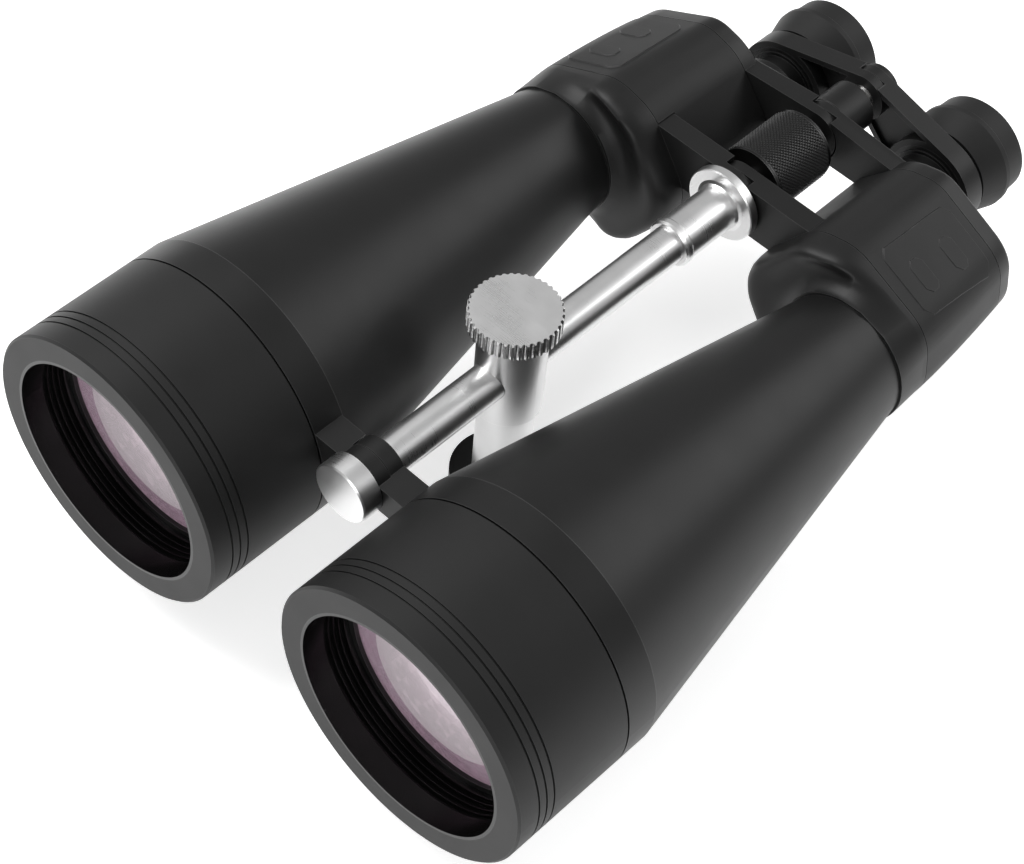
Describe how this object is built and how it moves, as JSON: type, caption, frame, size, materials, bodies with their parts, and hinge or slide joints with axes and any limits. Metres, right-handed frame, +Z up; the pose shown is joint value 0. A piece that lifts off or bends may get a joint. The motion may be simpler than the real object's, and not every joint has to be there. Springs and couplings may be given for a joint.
{
  "type": "binoculars",
  "caption": "Large porro-prism binoculars with long object lens barrels, centre focusing, a brace bar between the barrels and a sliding tripod post with a thumbscrew.",
  "frame": {"origin": "middle of the footprint at the level that the hoods stand on", "axes": "+Y from the object lenses to the eyepieces, +X to the left barrel of the user, +Z up along the tripod post"},
  "size_m": [0.2326, 0.3286, 0.1012],
  "materials": {
    "hood_paint": "fine matt black paint on alloy",
    "body_paint": "satin black paint on alloy",
    "armour_rubber": "smooth matt rubber skin",
    "cup_rubber": "soft matt rubber",
    "grip_rubber": "fine diamond-knurled rubber",
    "anodised_black": "black anodised",
    "coated_glass": "pink-violet anti-reflection coating",
    "clear_glass": "polished clear glass",
    "bright_steel": "brushed",
    "black_steel": "blackened steel",
    "chrome": "satin-bright chrome",
    "post_chrome": "satin chrome",
    "wheel_metal": "turned, rims left bright",
    "foot_plastic": "matt black",
    "brass": "turned",
    "nylon": "white nylon"
  },
  "bodies": {
    "brace": {"brace_bar": "chrome", "end_cap": "chrome", "cap_screw": "black_steel", "flange_sleeve": "chrome", "front_axle": "bright_steel", "rear_hub": "body_paint"},
    "right_half": {"right_hood": "hood_paint", "right_lens_cell": "anodised_black", "right_crown_lens": "coated_glass", "right_flint_lens": "clear_glass", "right_lens_retainer": "anodised_black", "right_brace_band": "body_paint", "right_barrel": "body_paint", "right_prism_housing": "body_paint", "right_armour": "armour_rubber", "right_rear_cover": "body_paint", "right_guide_tube": "anodised_black", "right_prism_plate": "bright_steel", "right_rear_prism": "clear_glass", "right_front_prism": "clear_glass", "right_prism_clips": "bright_steel", "right_cover_screws": "black_steel"},
    "left_half": {"left_hood": "hood_paint", "left_lens_cell": "anodised_black", "left_crown_lens": "coated_glass", "left_flint_lens": "clear_glass", "left_lens_retainer": "anodised_black", "left_brace_band": "body_paint", "left_barrel": "body_paint", "left_prism_housing": "body_paint", "left_armour": "armour_rubber", "left_rear_cover": "body_paint", "left_guide_tube": "anodised_black", "left_prism_plate": "bright_steel", "left_rear_prism": "clear_glass", "left_front_prism": "clear_glass", "left_prism_clips": "bright_steel", "left_cover_screws": "black_steel"},
    "focus_wheel": {"focus_wheel_core": "wheel_metal", "focus_wheel_grip": "grip_rubber"},
    "eyepiece_bridge": {"focus_spindle": "bright_steel", "bridge_cap": "body_paint"},
    "left_eyepiece": {"left_eyepiece_arm": "body_paint", "left_eyepiece_collar": "anodised_black", "left_eyepiece_barrel": "anodised_black", "left_field_lens": "clear_glass", "left_eye_lens": "coated_glass", "left_eyecup": "cup_rubber"},
    "right_arm": {"right_eyepiece_arm": "body_paint"},
    "dioptre_ring": {"right_dioptre_ring": "anodised_black"},
    "right_eyepiece": {"right_eyepiece_barrel": "anodised_black", "right_field_lens": "clear_glass", "right_eye_lens": "coated_glass", "right_eyecup": "cup_rubber"},
    "tripod_post": {"post_body": "post_chrome", "post_foot": "foot_plastic", "tripod_insert": "brass"},
    "clamp": {"clamp_pad": "nylon"},
    "thumb_screw": {"thumb_screw": "chrome"}
  },
  "joints": [
    {"name": "right_half_fold", "type": "hinge", "parent": "brace", "child": "right_half", "pos_m": [0, -0.03425, 0.0661], "axis": [0, 1, 0], "range_deg": [-14, 11.6]},
    {"name": "left_half_fold", "type": "hinge", "parent": "brace", "child": "left_half", "pos_m": [0, -0.03425, 0.0661], "axis": [0, 1, 0], "range_deg": [-11.6, 14]},
    {"name": "focus_wheel_turn", "type": "hinge", "parent": "brace", "child": "focus_wheel", "pos_m": [0, 0.0851, 0.0661], "axis": [0, 1, 0], "range_deg": [-360, 360]},
    {"name": "focus_travel", "type": "slide", "parent": "brace", "child": "eyepiece_bridge", "axis": [0, 1, 0], "range_m": [-0.004, 0.004]},
    {"name": "left_eyepiece_swing", "type": "hinge", "parent": "eyepiece_bridge", "child": "left_eyepiece", "pos_m": [0, 0.13675, 0.0661], "axis": [0, 1, 0], "range_deg": [-11.6, 14]},
    {"name": "right_eyepiece_swing", "type": "hinge", "parent": "eyepiece_bridge", "child": "right_arm", "pos_m": [0, 0.13675, 0.0661], "axis": [0, 1, 0], "range_deg": [-14, 11.6]},
    {"name": "dioptre_turn", "type": "hinge", "parent": "right_arm", "child": "dioptre_ring", "pos_m": [-0.0339, 0.13675, 0.0472], "axis": [0, 1, 0], "range_deg": [-120, 120]},
    {"name": "dioptre_travel", "type": "slide", "parent": "right_arm", "child": "right_eyepiece", "axis": [0, 1, 0], "range_m": [-0.0016, 0.0016]},
    {"name": "post_slide", "type": "slide", "parent": "brace", "child": "tripod_post", "axis": [0, 1, 0], "range_m": [-0.026, 0.055]},
    {"name": "clamp_travel", "type": "slide", "parent": "tripod_post", "child": "clamp", "axis": [0, 0, 1], "range_m": [0, 0.0015]},
    {"name": "thumb_screw_turn", "type": "hinge", "parent": "clamp", "child": "thumb_screw", "pos_m": [0, -0.04825, 0.0846], "axis": [0, 0, 1], "range_deg": [0, 540]}
  ],
  "couplings": [
    {"joint": "left_half_fold", "follows": "right_half_fold", "ratio": -1},
    {"joint": "left_eyepiece_swing", "follows": "right_half_fold", "ratio": -1},
    {"joint": "right_eyepiece_swing", "follows": "right_half_fold", "ratio": 1},
    {"joint": "focus_wheel_turn", "follows": "focus_travel", "rad_per_m": 1570.7},
    {"joint": "dioptre_turn", "follows": "dioptre_travel", "rad_per_m": 1308.9},
    {"joint": "thumb_screw_turn", "follows": "clamp_travel", "rad_per_m": 6283.1}
  ]
}
